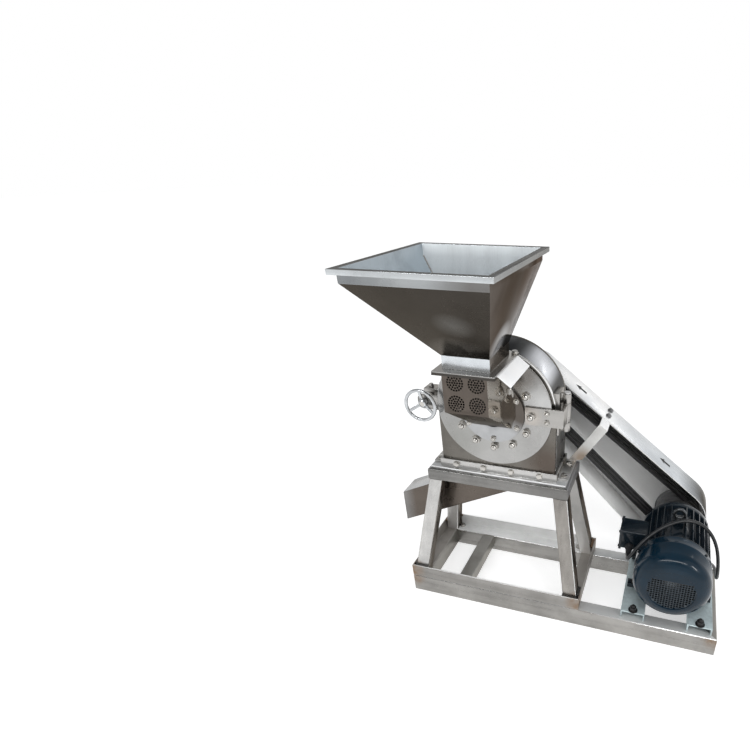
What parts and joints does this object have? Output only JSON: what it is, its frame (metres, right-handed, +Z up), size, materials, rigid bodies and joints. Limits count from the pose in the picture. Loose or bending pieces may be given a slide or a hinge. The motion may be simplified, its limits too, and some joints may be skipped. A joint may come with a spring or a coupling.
{
  "type": "food pulverizer",
  "caption": "Stainless toothed-disc food pulverizer: hopper with slide gate, hinged round door, belt guard, motor and discharge chute on one welded base frame.",
  "frame": {"origin": "centre of the base frame's footprint, on the floor", "axes": "+Z up; +X to the right seen from the door side, from the chute towards the motor; +Y to the rear, from the door towards the belt guard"},
  "size_m": [0.9668, 0.7933, 1.0165],
  "materials": {
    "stainless": "brushed",
    "polished": "polished",
    "bearing_grey": "painted",
    "cast": "machined",
    "motor_paint": "glossy",
    "black_steel": "satin",
    "shaft_steel": "turned",
    "fan_plastic": "matte",
    "rubber_black": "matte",
    "plastic_black": "satin"
  },
  "bodies": {
    "frame": {"long_rails": "stainless", "cross_rails": "stainless", "stand_ring_sides": "stainless", "stand_ring_ends": "stainless", "stand_legs": "stainless", "top_ring_sides": "stainless", "top_ring_ends": "stainless", "top_plate": "stainless", "frame_bolts": "polished", "housing_shell": "stainless", "housing_front_plate": "stainless", "housing_back_plate": "stainless", "housing_flange": "stainless", "rear_dome_nuts": "polished", "bearing_housing": "bearing_grey", "bearing_cover": "bearing_grey", "main_bearings": "polished", "ring_sieve": "stainless", "hinge_leaf": "stainless", "hinge_pin": "polished", "clamp_bracket": "stainless", "trunnion_nut": "polished", "discharge_chute": "stainless", "motor_rails": "stainless", "motor_bolts": "black_steel", "motor_frame": "motor_paint", "motor_end_shields": "motor_paint", "fan_cowl": "motor_paint", "terminal_box": "motor_paint", "eye_bolt": "black_steel", "v_belts": "rubber_black", "belt_guard": "stainless", "guard_strip": "stainless", "cord_gland": "plastic_black", "power_cord": "rubber_black", "cord_coil": "rubber_black", "cord_tie": "plastic_black", "power_plug": "plastic_black"},
    "door": {"door_disc": "stainless", "door_seal": "rubber_black", "door_boss": "stainless", "door_dome_nuts": "polished", "door_small_bolts": "polished", "fixed_tooth_disc": "polished", "hinge_strap": "stainless", "feed_box": "stainless", "gate_guide": "stainless", "hopper": "stainless", "clamp_lug": "stainless"},
    "gate": {"feed_gate": "stainless"},
    "gate_screw": {"wing_screw": "polished"},
    "clamp": {"clamp_screw": "polished", "handwheel": "polished"},
    "rotor": {"main_shaft": "polished", "rotor_disc": "polished", "rotor_nut": "polished", "rotor_pulley": "cast"},
    "motor_rotor": {"motor_shaft": "shaft_steel", "motor_fan": "fan_plastic", "motor_pulley": "cast"}
  },
  "joints": [
    {"name": "door_swing", "type": "hinge", "parent": "frame", "child": "door", "pos_m": [-0.007, -0.02, 0.619], "axis": [0, 0, 1], "range_deg": [0, 110]},
    {"name": "gate_slide", "type": "slide", "parent": "door", "child": "gate", "axis": [1, 0, 0], "range_m": [0, 0.105]},
    {"name": "gate_screw_turn", "type": "hinge", "parent": "door", "child": "gate_screw", "pos_m": [-0.126, -0.121, 0.73], "axis": [0, 0, -1], "range_deg": [0, 720]},
    {"name": "clamp_turn", "type": "hinge", "parent": "door", "child": "clamp", "pos_m": [-0.388, -0.06, 0.619], "axis": [0, -1, 0], "range_deg": [0, 1080]},
    {"name": "rotor_spin", "type": "hinge", "parent": "frame", "child": "rotor", "pos_m": [-0.191, 0.1, 0.619], "axis": [0, 1, 0], "continuous": true},
    {"name": "motor_spin", "type": "hinge", "parent": "frame", "child": "motor_rotor", "pos_m": [0.312, 0, 0.196], "axis": [0, 1, 0], "continuous": true}
  ],
  "couplings": [
    {"joint": "rotor_spin", "follows": "motor_spin", "ratio": 1.7073}
  ]
}
